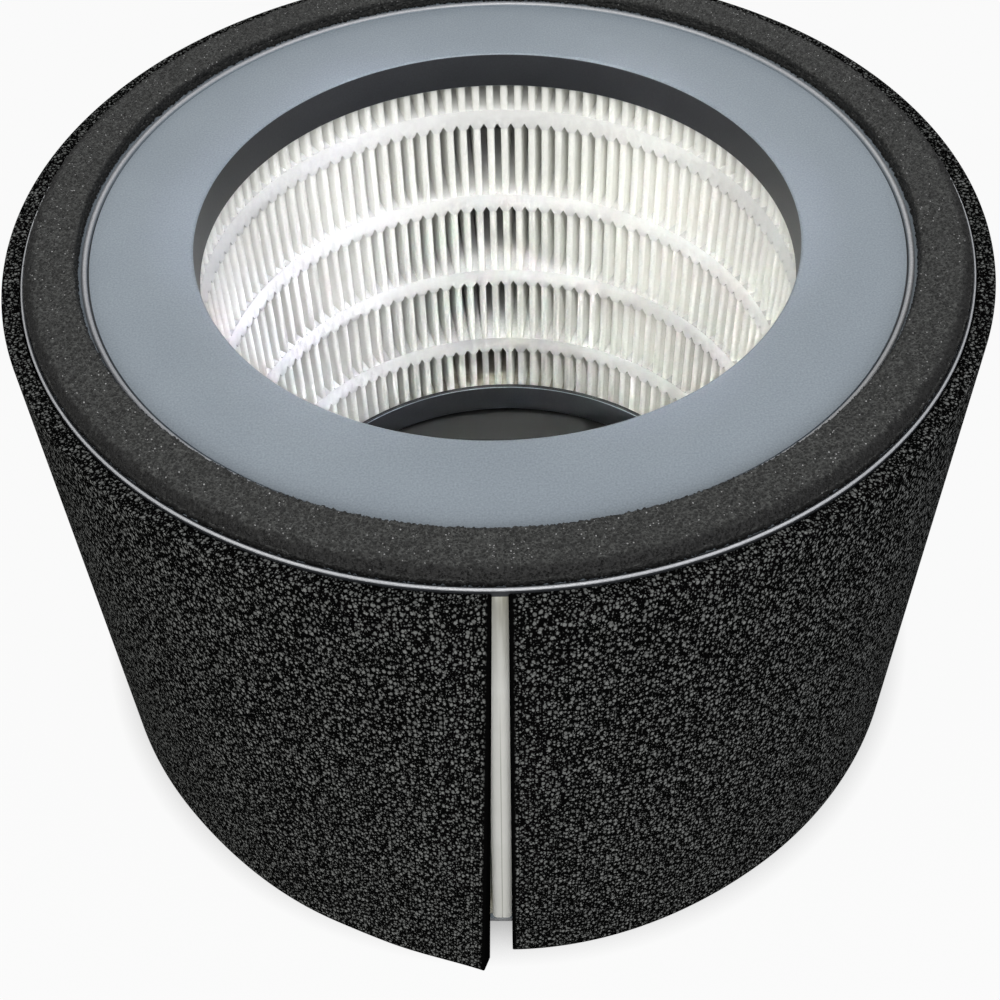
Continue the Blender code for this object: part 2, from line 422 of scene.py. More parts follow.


# %% [markdown]
# ## The finish of the end caps
# The caps are injection moulded in a bluish grey plastic. The mould's surface is very finely
# sandblasted, so the plate shines only softly, and seen closely it has a faint grain. A noise
# far finer than a millimetre bends the light for that grain, and a second, slow one shifts
# the colour a little, because real mouldings are never quite even. The ridge and the outer
# edge of the rim get a glossier copy of the plastic whose lighter colour is a painted
# highlight. The narrow upright walls, the groove and the inner top of the rim get a nearly
# black copy whose colour is painted shade. So the same plastic is made three times: grey,
# painted shade, and glossy with a painted highlight.

# %% Cap plastic
def cap_finish(name, light, dark, roughness, specular):
    material, shader = new_material(name, roughness, specular)
    spot = add_node(material, "ShaderNodeTexCoord").outputs["Object"]
    cloud = add_node(material, "ShaderNodeTexNoise", {"Vector": spot, "Scale": 60.0, "Detail": 3.0})
    grain = add_node(material, "ShaderNodeTexNoise", {"Vector": spot, "Scale": 2600.0, "Detail": 2.0})
    even = ramp_between(material, cloud.outputs["Fac"], 0.35, 0.65)
    fine = ramp_between(material, grain.outputs["Fac"], 0.3, 0.7)
    base = mix_colours(material, even, (*dark, 1.0), (*light, 1.0))
    lift = ramp_between(material, fine, 0.0, 1.0, 0.86, 1.14)
    speck = add_node(material, "ShaderNodeHueSaturation", {"Color": base, "Value": lift})
    wire(material, speck.outputs["Color"], shader.inputs["Base Color"])
    add_bump(material, shader, fine, 0.02 * MM, 0.5)
    return material


# Slot 1 is a copy whose nearly black colour is painted shade. Slot 2 is a glossier copy whose lighter
# colour is a painted highlight; its low roughness is real.
PLATE, PAINTED_SHADE, GLOSSY_PAINTED_HIGHLIGHT = 0, 1, 2
cap_plastic = cap_finish("cap_plastic_grey", (0.253, 0.294, 0.334), (0.240, 0.280, 0.320), 0.42, 0.35)
painted_shade_plastic = cap_finish("cap_plastic_painted_shade", (0.030, 0.032, 0.036), (0.026, 0.028, 0.032), 0.42, 0.25)
glossy_painted_highlight_plastic = cap_finish("cap_plastic_glossy_painted_highlight", (0.34, 0.35, 0.37), (0.32, 0.33, 0.35), 0.2, 0.9)

# %% [markdown]
# ## The end caps
# Each cap is one moulding: a flat plate with a raised ridge and a raised rim that the foam
# ring lies between, and a collar turned down into the bore. The section has sharp corners at
# first. The bore's edge, the ridge and the rim are then rounded with bevels, because their
# thin bright lines are what the eye reads as moulded plastic. Which of the three finishes a
# face gets follows from where it lies on the section.

# %% End caps
BORE_RADIUS = 62.0 * MM
COLLAR_WALL = 1.5 * MM
COLLAR_DEPTH = 9.0 * MM
PLATE_THICKNESS = 1.2 * MM
RIM_WIDTH = 0.8 * MM
RIM_ROUND = 0.38 * MM
RIM_INNER_ROUND = 0.3 * MM
BORE_ROUND = 0.7 * MM
COLLAR_ROUND = 0.4 * MM
GROOVE_RADIUS = 82.7 * MM
GROOVE_WIDTH = 0.4 * MM
GROOVE_DEPTH = 0.4 * MM
GROOVE_SLANT = 0.1 * MM
RIDGE_INNER = GROOVE_RADIUS + GROOVE_WIDTH
RIDGE_WIDTH = 1.1 * MM
RIDGE_RISE = 0.6 * MM
RIDGE_ROUND = 0.45 * MM
CAP_STEPS = 240
EDGE_ZONE = 0.1 * MM


def cap_section():
    """The upper cap's section, with its flat face at height 0."""
    return [
        (BORE_RADIUS, 0.0),
        (GROOVE_RADIUS, 0.0),
        (GROOVE_RADIUS + GROOVE_SLANT, -GROOVE_DEPTH),
        (RIDGE_INNER, -GROOVE_DEPTH),
        (RIDGE_INNER, RIDGE_RISE),
        (RIDGE_INNER + RIDGE_WIDTH, RIDGE_RISE),
        (RIDGE_INNER + RIDGE_WIDTH, 0.0),
        (RIM_RADIUS - RIM_WIDTH, 0.0),
        (RIM_RADIUS - RIM_WIDTH, RIM_RISE),
        (RIM_RADIUS, RIM_RISE),
        (RIM_RADIUS, -PLATE_THICKNESS),
        (BORE_RADIUS + COLLAR_WALL, -PLATE_THICKNESS),
        (BORE_RADIUS + COLLAR_WALL, -COLLAR_DEPTH),
        (BORE_RADIUS, -COLLAR_DEPTH),
    ]


def cap_slot(face, rim_wall_slot):
    """Painted shade on the upright walls, the groove and the inner top of the rim, the glossy copy with its
    painted highlight on the ridge and the rim's rounded outer edge, the given slot on the rim's outer wall,
    and the plate's grey elsewhere.
    """
    radius = math.hypot(face.center.x, face.center.y)
    height = face.center.z
    in_bore = radius < BORE_RADIUS + EDGE_ZONE and height < -0.5 * MM
    outside_bore = BORE_RADIUS + 1.5 * EDGE_ZONE < radius < BORE_RADIUS + 2 * COLLAR_WALL
    in_groove = abs(radius - GROOVE_RADIUS - GROOVE_WIDTH / 2) < GROOVE_WIDTH and height < -0.3 * MM
    if in_bore or (outside_bore and height < -PLATE_THICKNESS) or in_groove:
        return PAINTED_SHADE
    if radius > RIM_RADIUS - EDGE_ZONE and height < EDGE_ZONE:
        return rim_wall_slot
    if radius > RIM_RADIUS - RIM_WIDTH - EDGE_ZONE and height > -EDGE_ZONE:
        return GLOSSY_PAINTED_HIGHLIGHT if radius > RIM_RADIUS - RIM_ROUND else PAINTED_SHADE
    on_ridge = RIDGE_INNER < radius < RIDGE_INNER + 1.1 * RIDGE_WIDTH and height > EDGE_ZONE
    return GLOSSY_PAINTED_HIGHLIGHT if on_ridge else PLATE


def make_cap(name, node, rim_wall_slot):
    piece = trace_rings(name, cap_section(), CAP_STEPS)
    round_rings(BORE_RADIUS, 0.0, BORE_ROUND, 4)
    round_rings(RIDGE_INNER, RIDGE_RISE, RIDGE_ROUND, 4)
    round_rings(RIDGE_INNER + RIDGE_WIDTH, RIDGE_RISE, RIDGE_ROUND, 4)
    round_rings(RIM_RADIUS - RIM_WIDTH, RIM_RISE, RIM_INNER_ROUND, 3)
    round_rings(RIM_RADIUS, RIM_RISE, RIM_ROUND, 4)
    round_rings(BORE_RADIUS, -COLLAR_DEPTH, COLLAR_ROUND, 3)
    round_rings(BORE_RADIUS + COLLAR_WALL, -COLLAR_DEPTH, COLLAR_ROUND, 3)
    bpy.ops.object.mode_set(mode="OBJECT")
    bpy.ops.object.shade_smooth_by_angle(angle=math.radians(35))
    finish_piece(piece, cap_plastic, [node])
    piece.data.materials.append(painted_shade_plastic)
    piece.data.materials.append(glossy_painted_highlight_plastic)
    for face in piece.data.polygons:
        face.material_index = cap_slot(face, rim_wall_slot)
    return piece


def move_mesh(piece, matrix):
    """Places a piece in its mesh; the object itself stays at the origin."""
    piece.data.transform(matrix)
    piece.data.update()


# The upper rim's outer wall gets the painted shade, and the lower rim's outer wall gets the lighter painted
# highlight.
upper_cap = make_cap("upper_cap_moulding", "top_end_cap", PAINTED_SHADE)
lower_cap = make_cap("lower_cap_moulding", "bottom_end_cap", GLOSSY_PAINTED_HIGHLIGHT)
move_mesh(upper_cap, Matrix.Translation((0, 0, UPPER_FACE)))
move_mesh(lower_cap, Matrix.Translation((0, 0, LOWER_FACE)) @ Matrix.Rotation(math.pi, 4, "X"))

# %% [markdown]
# ## The foam rings
# The seal on each cap is a flat ring cut from charcoal open-cell foam. Its cells are about
# half a millimetre, so its cut faces are rough all over and its edges are ragged. Bump alone
# would leave a clean outline, so the ring gets a fine mesh and a real displacement at the
# size of the cells, and bump only adds what is finer still. The outer edge is well rounded,
# where the foam is pressed in behind the rim. The finish paints each face darker by the way
# it is turned, so the sides look darker than the top. This is painted shade, most of it on the
# outer side next to the rim. The dark middles of the cells are painted shade in the open pores,
# and a few pale flecks are painted glints.

# %% Foam finish
FOAM_PORE = 0.46 * MM


def painted_side_shade(material, spot):
    """Painted shade: 1 on the flat faces, less on the inner side of the ring and least on its outer side.
    """
    facing = add_node(material, "ShaderNodeNewGeometry")
    flat = combine_places(material, spot, (1.0, 1.0, 0.0))
    outward = add_node(material, "ShaderNodeVectorMath", {0: flat}, operation="NORMALIZE")
    sides = {0: facing.outputs["Normal"], 1: outward.outputs[0]}
    tilt = add_node(material, "ShaderNodeVectorMath", sides, operation="DOT_PRODUCT").outputs["Value"]
    outer = ramp_between(material, tilt, 0.52, 0.1, 0.05)
    inner = ramp_between(material, tilt, -0.95, -0.5, 0.30)
    return combine(material, outer, inner)


def foam_finish():
    material, shader = new_material("charcoal_foam", 0.6, 0.25)
    spot = add_node(material, "ShaderNodeTexCoord").outputs["Object"]
    cells = add_node(material, "ShaderNodeTexVoronoi", {"Vector": spot, "Scale": 1.0 / FOAM_PORE})
    chance = add_node(material, "ShaderNodeSeparateColor", {"Color": cells.outputs["Color"]})
    # Darker in the middle of each cell, varied at random from cell to cell: painted shade in the open
    # pores, plus the foam's own uneven tone.
    walls = ramp_between(material, cells.outputs["Distance"], 0.05, 0.60)
    open_cells = ramp_between(material, chance.outputs["Red"], 0.0, 1.0, 0.12)
    rough = combine(material, walls, open_cells)
    body = mix_colours(material, rough, (0.003, 0.003, 0.003, 1.0), (0.079, 0.081, 0.078, 1.0))
    # A few cells get a pale fleck: painted glints.
    painted_glint = ramp_between(material, chance.outputs["Green"], 0.94, 0.95)
    core = ramp_between(material, cells.outputs["Distance"], 0.40, 0.25)
    colour = mix_colours(material, combine(material, painted_glint, core), body, (0.34, 0.34, 0.34, 1.0))
    # The sides of the ring are darker than its top: painted shade.
    shade = painted_side_shade(material, spot)
    shaded = add_node(material, "ShaderNodeHueSaturation", {"Color": colour, "Value": shade})
    wire(material, shaded.outputs["Color"], shader.inputs["Base Color"])
    add_bump(material, shader, rough, 0.3 * MM)
    return material


charcoal_foam = foam_finish()

# %% Foam rings
FIT_GAP = 0.3 * MM
FOAM_INNER = 84.8 * MM
FOAM_RISE = 3.8 * MM
UPPER_FOAM_WIDTH = 10.3 * MM
LOWER_FOAM_WIDTH = 6.7 * MM
FOAM_INNER_ROUND = 0.7 * MM
FOAM_OUTER_ROUND = 2.9 * MM
FOAM_ROUGHNESS = 1.2 * MM
FOAM_CELL = 0.36 * MM
FOAM_INSET = 0.42 * FOAM_ROUGHNESS


def spaced(first, last, gap):
    """Even steps of about the gap, from the first value up to but not including the last."""
    count = max(1, round(abs(last - first) / gap))
    return [first + (last - first) * k / count for k in range(count)]


def quarter_round(middle, radius, first_turn, gap):
    """Points of a quarter circle round (radius, height), turning clockwise from the first turn."""
    turns = spaced(first_turn, first_turn - math.pi / 2, gap / radius)
    return [(middle[0] + radius * math.cos(turn), middle[1] + radius * math.sin(turn)) for turn in turns]


def foam_section(width, gap):
    """Down the outer side, in under the ring, up the inner side and out over the rounded top."""
    inner, outer = FOAM_INNER, FOAM_INNER + width
    low, high = FIT_GAP, FOAM_RISE
    inner_knee, outer_knee = high - FOAM_INNER_ROUND, high - FOAM_OUTER_ROUND
    points = [(outer, z) for z in spaced(outer_knee, low, gap)]
    points += [(r, low) for r in spaced(outer, inner, 4 * gap)]
    points += [(inner, z) for z in spaced(low, inner_knee, gap)]
    points += quarter_round((inner + FOAM_INNER_ROUND, inner_knee), FOAM_INNER_ROUND, math.pi, gap)
    points += [(r, high) for r in spaced(inner + FOAM_INNER_ROUND, outer - FOAM_OUTER_ROUND, gap)]
    points += quarter_round((outer - FOAM_OUTER_ROUND, outer_knee), FOAM_OUTER_ROUND, math.pi / 2, gap)
    return points


def make_foam(name, node, width, gap, steps):
    section = [(r, z - FOAM_INSET if z > FOAM_RISE / 2 else z) for r, z in foam_section(width, gap)]
    piece = trace_rings(name, section, steps)
    bpy.ops.object.mode_set(mode="OBJECT")
    cells = bpy.data.textures.new(name + "_cells", "CLOUDS")
    cells.noise_scale = FOAM_CELL
    cells.noise_depth = 2
    rough = piece.modifiers.new("Cut cells", "DISPLACE")
    rough.texture = cells
    rough.texture_coords = "LOCAL"
    rough.strength = FOAM_ROUGHNESS
    rough.mid_level = 0.5
    apply_all(piece)
    bpy.ops.object.shade_smooth()
    finish_piece(piece, charcoal_foam, [node])
    return piece


upper_foam = make_foam("upper_foam_ring", "top_foam_gasket", UPPER_FOAM_WIDTH, 0.42 * MM, 1800)
lower_foam = make_foam("lower_foam_ring", "bottom_foam_gasket", LOWER_FOAM_WIDTH, 0.7 * MM, 600)
move_mesh(upper_foam, Matrix.Translation((0, 0, UPPER_FACE)))
move_mesh(lower_foam, Matrix.Translation((0, 0, LOWER_FACE)) @ Matrix.Rotation(math.pi, 4, "X"))

# %% [markdown]
# ## The potting compound
# The ends of the pleats are sealed in a bed of cast resin under each cap. The real pleats
# stand in it and reach up to the plate, so from outside little more shows than a darker beige
# band in the sheet's outer part. That band is partly resin that has crept in and partly painted
# shade under the cap. The loaded solid already has the right shape, so it is kept, and it only
# gets a finish: slightly glossy, with the faint marbling of a poured resin.

# %% Potting finish
def potting_finish():
    material, shader = new_material("cast_resin", 0.4, 0.4)
    spot = add_node(material, "ShaderNodeTexCoord").outputs["Object"]
    swirl = add_node(material, "ShaderNodeTexNoise", {"Vector": spot, "Scale": 400.0, "Detail": 3.0})
    marbled = ramp_between(material, swirl.outputs["Fac"], 0.35, 0.65)
    colour = mix_colours(material, marbled, (0.42, 0.40, 0.33, 1.0), (0.56, 0.54, 0.47, 1.0))
    wire(material, colour, shader.inputs["Base Color"])
    add_bump(material, shader, marbled, 0.05 * MM)
    return material


cast_resin = potting_finish()
for node in ("top_potting_ring", "bottom_potting_ring"):
    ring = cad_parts[node]
    ring.data.materials.clear()
    ring.data.materials.append(cast_resin)

# %% [markdown]
# ## The pleated sheet
# The filter sheet is one long strip of white fibre, folded 120 times like a fan, rolled into
# a tube and joined. Folding a tube directly would be awkward. It is easier to do what the
# maker does: half a pleat is drawn flat, extruded edge by edge, mirrored into a whole one and
# copied along a line, and only then is the row rolled up. In the flat row, x runs along the
# row, y is how far a point lies outward from the inner folds, and z is its height. The finish
# comes first: felted white fibre, and a darker beige band in the outer part below the upper cap,
# partly resin that has crept in and partly painted shade under the cap. Last comes a fine grey
# line of painted crease shade down the outer fold at the front.

# %% Fibre finish
PLEATS = 120
INNER_FOLDS = 63.8 * MM
PLEAT_DEPTH = 31.7 * MM
PLEAT_TURN = math.radians(0.75)
PLEAT_TOP = UPPER_FACE - 1.25 * MM
PLEAT_FOOT = LOWER_FACE + 1.25 * MM
SOAK_AND_SHADE_DEPTH = 27.0 * MM
OUTER_LEAN = 1.0 * MM


def resin_soak_and_painted_shade(material, spot):
    """1 in the outer part of the sheet below the upper cap: partly resin that has crept in, partly painted
    shade under the cap.
    """
    parts = add_node(material, "ShaderNodeSeparateXYZ", {"Vector": spot})
    flat = combine_places(material, spot, (1.0, 1.0, 0.0))
    radius = add_node(material, "ShaderNodeVectorMath", {0: flat}, operation="LENGTH")
    deep = ramp_between(material, radius.outputs["Value"], INNER_FOLDS + 3 * MM, INNER_FOLDS + 12 * MM)
    high = ramp_between(material, parts.outputs["Z"], PLEAT_TOP - SOAK_AND_SHADE_DEPTH, PLEAT_TOP)
    drawn = combine_places(material, spot, (1.0, 1.0, 0.06))
    streaks = add_node(material, "ShaderNodeTexNoise", {"Vector": drawn, "Scale": 900.0, "Detail": 2.0})
    streaky = ramp_between(material, streaks.outputs["Fac"], 0.3, 0.7, 0.5, 1.15)
    return combine(material, combine(material, deep, high), streaky)


def painted_crease_line(material, spot):
    """1 on a fine line down the outer fold at the front, leaning like the folds: painted crease shade."""
    outer = INNER_FOLDS + PLEAT_DEPTH
    parts = add_node(material, "ShaderNodeSeparateXYZ", {"Vector": spot})
    lean = OUTER_LEAN * outer / INNER_FOLDS / (PLEAT_TOP - PLEAT_FOOT)
    shift = add_node(
        material,
        "ShaderNodeMath",
        {0: parts.outputs["Z"], 1: -lean, 2: outer * math.sin(PLEAT_TURN) + lean * PLEAT_TOP},
        operation="MULTIPLY_ADD",
    )
    away = combine(material, parts.outputs["X"], shift.outputs[0], "ADD")
    gap = add_node(material, "ShaderNodeMath", {0: away}, operation="ABSOLUTE")
    line = ramp_between(material, gap.outputs[0], 0.14 * MM, 0.06 * MM)
    front = ramp_between(material, parts.outputs["Y"], -outer + 4 * MM, -outer + 3 * MM)
    clear = ramp_between(material, parts.outputs["Z"], PLEAT_TOP - SOAK_AND_SHADE_DEPTH, PLEAT_TOP - 2 * SOAK_AND_SHADE_DEPTH)
    return combine(material, combine(material, line, front), clear)


def fibre_finish():
    material, shader = new_material("pleat_fibre_white", 0.9, 0.1)
    spot = add_node(material, "ShaderNodeTexCoord").outputs["Object"]
    cloud = add_node(material, "ShaderNodeTexNoise", {"Vector": spot, "Scale": 90.0, "Detail": 3.0})
    felt = add_node(material, "ShaderNodeTexNoise", {"Vector": spot, "Scale": 900.0, "Detail": 4.0})
    uneven = ramp_between(material, cloud.outputs["Fac"], 0.35, 0.65)
    white = mix_colours(material, uneven, (0.885, 0.89, 0.85, 1.0), (0.92, 0.925, 0.89, 1.0))
    # Darker beige below the upper cap: partly resin, partly painted shade.
    soaked_and_shaded = mix_colours(material, resin_soak_and_painted_shade(material, spot), white, (0.40, 0.395, 0.33, 1.0))
    # A fine grey line down the outer fold at the front: painted crease shade.
    line = painted_crease_line(material, spot)
    colour = mix_colours(material, line, soaked_and_shaded, (0.55, 0.55, 0.51, 1.0))
    wire(material, colour, shader.inputs["Base Color"])
    add_bump(material, shader, felt.outputs["Fac"], 0.12 * MM, 0.8)
    return material


pleat_fibre = fibre_finish()

# %% Half a pleat, drawn flat
PLEAT_PITCH = 2 * math.pi * INNER_FOLDS / PLEATS
INNER_HALF = 0.868 * MM
INNER_FOLD_ROUND = 0.70 * MM
OUTER_HALF_GAP = 0.529 * MM
OUTER_FOLD_ROUND = 0.5 * MM
SHEET_THICKNESS = 0.45 * MM
PLEAT_ROWS = 16
MERGE_GAP = 0.01 * MM


def half_pleat_path():
    """From the crown of an inner fold out to the crown of an outer one."""
    return [
        (0.0, 0.0),
        (INNER_HALF, 0.0),
        (OUTER_HALF_GAP, PLEAT_DEPTH),
        (PLEAT_PITCH / 2, PLEAT_DEPTH),
    ]


def start_upright_edge(name, low, high, cuts):
    """One upright edge at x = y = 0, cut into rows, ready to be extruded sideways."""
    bpy.ops.object.select_all(action="DESELECT")
    middle = (low + high) / 2
    bpy.ops.mesh.primitive_plane_add(size=1.0, location=(0, 0, 0), rotation=(math.pi / 2, 0, 0))
    piece = name_piece(name)
    bpy.ops.object.transform_apply(location=True, rotation=True, scale=True)
    bpy.ops.object.mode_set(mode="EDIT")
    pick("VERT", lambda co: co.x > 0)
    bpy.ops.mesh.delete(type="VERT")
    bpy.ops.mesh.select_all(action="SELECT")
    bpy.ops.transform.translate(value=(0.5, 0, 0))
    bpy.ops.transform.resize(value=(1, 1, high - low), center_override=(0, 0, 0))
    bpy.ops.transform.translate(value=(0, 0, middle))
    bpy.ops.mesh.subdivide(number_cuts=cuts)
    return piece


def extrude_along(path):
    bpy.ops.mesh.select_mode(type="EDGE")
    bpy.ops.mesh.select_all(action="SELECT")
    for old, new in zip(path, path[1:]):
        bpy.ops.mesh.extrude_edges_move()
        bpy.ops.transform.translate(value=(new[0] - old[0], new[1] - old[1], 0))


def round_upright_edges(x, y, width, segments):
    def on_line(middle):
        return abs(middle.x - x) < NEAR and abs(middle.y - y) < NEAR

    pick("EDGE", on_line)
    bpy.ops.mesh.bevel(offset=width, segments=segments, affect="EDGES")


def copy_in_row(piece, step, count):
    """Mirrors the half unit about x = 0 and copies it along the row."""
    mirror = piece.modifiers.new("Other half", "MIRROR")
    mirror.use_clip = True
    mirror.merge_threshold = MERGE_GAP
    row = piece.modifiers.new("Row", "ARRAY")
    row.count = count
    row.use_relative_offset = False
    row.use_constant_offset = True
    row.constant_offset_displace = (step, 0, 0)
    row.use_merge_vertices = True
    row.merge_threshold = MERGE_GAP
    apply_all(piece)


def roll_up(piece, start):
    """Rolls the flat row into a tube: x becomes the angle, y adds to the radius."""
    for vertex in piece.data.vertices:
        angle = start - vertex.co.x / INNER_FOLDS
        radius = INNER_FOLDS + vertex.co.y
        vertex.co = (radius * math.cos(angle), radius * math.sin(angle), vertex.co.z)
    bpy.ops.object.select_all(action="DESELECT")
    piece.select_set(True)
    bpy.context.view_layer.objects.active = piece
    bpy.ops.object.mode_set(mode="EDIT")
    bpy.ops.mesh.select_all(action="SELECT")
    bpy.ops.mesh.remove_doubles(threshold=MERGE_GAP)
    bpy.ops.object.mode_set(mode="OBJECT")


pleats = start_upright_edge("pleat_pack", PLEAT_FOOT, PLEAT_TOP, PLEAT_ROWS - 1)
extrude_along(half_pleat_path())
round_upright_edges(INNER_HALF, 0.0, INNER_FOLD_ROUND, 4)
round_upright_edges(OUTER_HALF_GAP, PLEAT_DEPTH, OUTER_FOLD_ROUND, 3)
bpy.ops.object.mode_set(mode="OBJECT")
copy_in_row(pleats, PLEAT_PITCH, PLEATS)
print("flat row:", [round(v / MM, 1) for v in pleats.dimensions], "mm")

# %% [markdown]
# ### Uneven folds
# No two folds of the real sheet stand exactly alike. While the row is still flat, each inner
# fold is shifted a little sideways and wavers a little over its height. The outer folds stay
# where the upper cap holds them, and all lean slightly to one side towards the foot, as the
# crease in the gap of the wrap shows. The seeded random numbers are the same on every run.

# %% Shift each fold a little, then roll up
FOLD_SHIFT = 0.12 * MM
FOLD_WAVER = 0.05 * MM


def unsettle_folds(piece):
    dice = random.Random(7)
    shifts = [dice.uniform(-FOLD_SHIFT, FOLD_SHIFT) for k in range(PLEATS)]
    wavers = [dice.uniform(-FOLD_WAVER, FOLD_WAVER) for k in range(PLEATS)]
    phases = [dice.uniform(0, 2 * math.pi) for k in range(PLEATS)]
    tall = PLEAT_TOP - PLEAT_FOOT
    for vertex in piece.data.vertices:
        fold = round(vertex.co.x / PLEAT_PITCH) % PLEATS
        height = (vertex.co.z - PLEAT_FOOT) / tall
        held = 1 - min(1.0, vertex.co.y / PLEAT_DEPTH)
        weight = math.cos(math.pi * vertex.co.x / PLEAT_PITCH) ** 2
        waver = wavers[fold] * math.sin(3 * math.pi * height + phases[fold])
        vertex.co.x += held * weight * (shifts[fold] + waver)
        vertex.co.x += (1 - held) * (1 - height) * OUTER_LEAN


def thicken(piece, thickness, offset):
    wall = piece.modifiers.new("Thickness", "SOLIDIFY")
    wall.thickness = thickness
    wall.offset = offset
    apply_all(piece)


unsettle_folds(pleats)
roll_up(pleats, PLEAT_TURN)
thicken(pleats, SHEET_THICKNESS, 1.0)
bpy.ops.object.shade_smooth_by_angle(angle=math.radians(50))
finish_piece(pleats, pleat_fibre, ["pleated_media"])

# %% [markdown]
# ## The glue beads
# Four beads of hot-melt glue keep the folds apart. The glue is laid on the flat sheet before
# it is folded, so it runs over each inner fold and reaches deep in between two folds. From
# the bore it is a white band with a small pointed arch under each gap. It is made like the
# pleats: half a tooth as a shaped block, mirrored, copied in a row and rolled up.

# %% Glue finish
def glue_finish():
    material, shader = new_material("hot_melt_white", 0.6, 0.2)
    spot = add_node(material, "ShaderNodeTexCoord").outputs["Object"]
    flow = add_node(material, "ShaderNodeTexNoise", {"Vector": spot, "Scale": 500.0, "Detail": 2.0})
    cloud = ramp_between(material, flow.outputs["Fac"], 0.3, 0.7)
    colour = mix_colours(material, cloud, (0.75, 0.755, 0.745, 1.0), (0.79, 0.795, 0.785, 1.0))
    wire(material, colour, shader.inputs["Base Color"])
    add_bump(material, shader, flow.outputs["Fac"], 0.2 * MM, 0.6)
    return material


hot_melt = glue_finish()

# %% Half a tooth, and the four beads
BEAD_HALF = 2.65 * MM
BEAD_PROUD = 0.40 * MM
BEAD_TOP_PROUD = 0.05 * MM
BEAD_REACH = 27.0 * MM
BEAD_BACK_RISE = 1.5 * MM
BEAD_ROUND = 0.25 * MM
ARCH_LIFT = 1.5 * MM
TOOTH_SIDE = 0.80 * MM
TOOTH_BACK_SIDE = 0.52 * MM
BEAD_DEPTHS = (19.5 * MM, 45.0 * MM, 70.2 * MM, 95.05 * MM)


def half_tooth(name):
    """A block over half an inner fold, widened into half a gap, and pulled deep into it."""
    bpy.ops.object.select_all(action="DESELECT")
    bpy.ops.mesh.primitive_cube_add(size=1.0, location=(0.5, 0.5, 0))
    piece = name_piece(name)
    bpy.ops.object.transform_apply(location=True, rotation=True, scale=True)
    bpy.ops.object.mode_set(mode="EDIT")
    bpy.ops.mesh.select_all(action="SELECT")
    size = (TOOTH_SIDE, BEAD_PROUD, 2 * BEAD_HALF)
    bpy.ops.transform.resize(value=size, center_override=(0, 0, 0))
    bpy.ops.transform.translate(value=(0, -BEAD_PROUD, 0))
    pick("FACE", lambda co: abs(co.x - TOOTH_SIDE) < NEAR)
    bpy.ops.mesh.extrude_region_move()
    bpy.ops.transform.translate(value=(PLEAT_PITCH / 2 - TOOTH_SIDE, 0, 0))
    pick("FACE", lambda co: co.x > TOOTH_SIDE and abs(co.y) < NEAR)
    bpy.ops.mesh.extrude_region_move()
    bpy.ops.transform.translate(value=(0, BEAD_REACH, 0))
    pick("VERT", lambda co: co.y > BEAD_REACH / 2 and co.x < PLEAT_PITCH / 2 - NEAR)
    bpy.ops.transform.translate(value=(TOOTH_BACK_SIDE - TOOTH_SIDE, 0, 0))
    pick("VERT", lambda co: co.y > BEAD_REACH / 2 and co.z > 0)
    bpy.ops.transform.translate(value=(0, 0, BEAD_BACK_RISE))
    pick("VERT", lambda co: co.x > PLEAT_PITCH / 2 - NEAR and co.z < 0)
    bpy.ops.transform.translate(value=(0, 0, ARCH_LIFT))
    pick("VERT", lambda co: co.y < -NEAR and co.z > 0)
    bpy.ops.transform.translate(value=(0, BEAD_PROUD - BEAD_TOP_PROUD, 0))
    pick("EDGE", lambda co: co.y < -BEAD_PROUD + NEAR and co.z < 0)
    bpy.ops.mesh.bevel(offset=BEAD_ROUND, segments=2, affect="EDGES")
    pick("FACE", lambda co: co.x < NEAR or co.x > PLEAT_PITCH / 2 - NEAR)
    bpy.ops.mesh.delete(type="ONLY_FACE")
    bpy.ops.object.mode_set(mode="OBJECT")
    return piece


def make_bead(number, depth):
    piece = half_tooth(f"pleat_bead_{number}")
    copy_in_row(piece, PLEAT_PITCH, PLEATS)
    roll_up(piece, PLEAT_TURN)
    move_mesh(piece, Matrix.Translation((0, 0, UPPER_FACE - depth)))
    bpy.ops.object.mode_set(mode="EDIT")
    bpy.ops.mesh.select_all(action="SELECT")
    bpy.ops.mesh.normals_make_consistent(inside=False)
    bpy.ops.object.mode_set(mode="OBJECT")
    bpy.ops.object.shade_smooth_by_angle(angle=math.radians(40))
    finish_piece(piece, hot_melt, [f"glue_bead_{number}"])
    return piece


for number, depth in enumerate(BEAD_DEPTHS, start=1):
    make_bead(number, depth)

# %% [markdown]
# ## The carbon wrap
# The outer layer is a thick soft black sheet, full of carbon granules that show as small grey
# dots of three sizes. Its two ends do not quite meet at the front, the left end stands a
# little away from the filter at the foot, and the foot swells slightly on both sides of the
# gap. The sheet is made flat, as it was cut, given its thickness and its soft edges, laid out
# for the dots, and then wrapped round with the same rule as the solid.

# %% Wrap finish
SHEET_LENGTH = 612.0 * MM
WRAP_TOP = UPPER_FACE + 0.1 * MM
CLEAR_END = 0.6 * MM
CLEAR_FADE = 0.5 * MM
DOT_STRETCH = 1.6
DOT_WOBBLE = 0.3 * MM


def dots(material, place, cell, seed, small, large, soft):
    """Round dots of differing size, one in each cell of a scattered grid; 1 inside a dot."""
    moved = combine_places(material, place, (seed, seed * 0.37, 0.0), "ADD")
    grid = {"Vector": moved, "Scale": 1.0 / cell}
    cells = add_node(material, "ShaderNodeTexVoronoi", grid, voronoi_dimensions="2D")
    parts = add_node(material, "ShaderNodeSeparateColor", {"Color": cells.outputs["Color"]})
    radius = ramp_between(material, parts.outputs["Red"], 0.0, 1.0, small / cell, large / cell)
    inside = combine(material, radius, cells.outputs["Distance"], "SUBTRACT")
    dot = ramp_between(material, inside, 0.0, soft / cell)
    tone = ramp_between(material, parts.outputs["Green"], 0.0, 1.0, 0.5)
    return combine(material, dot, tone)


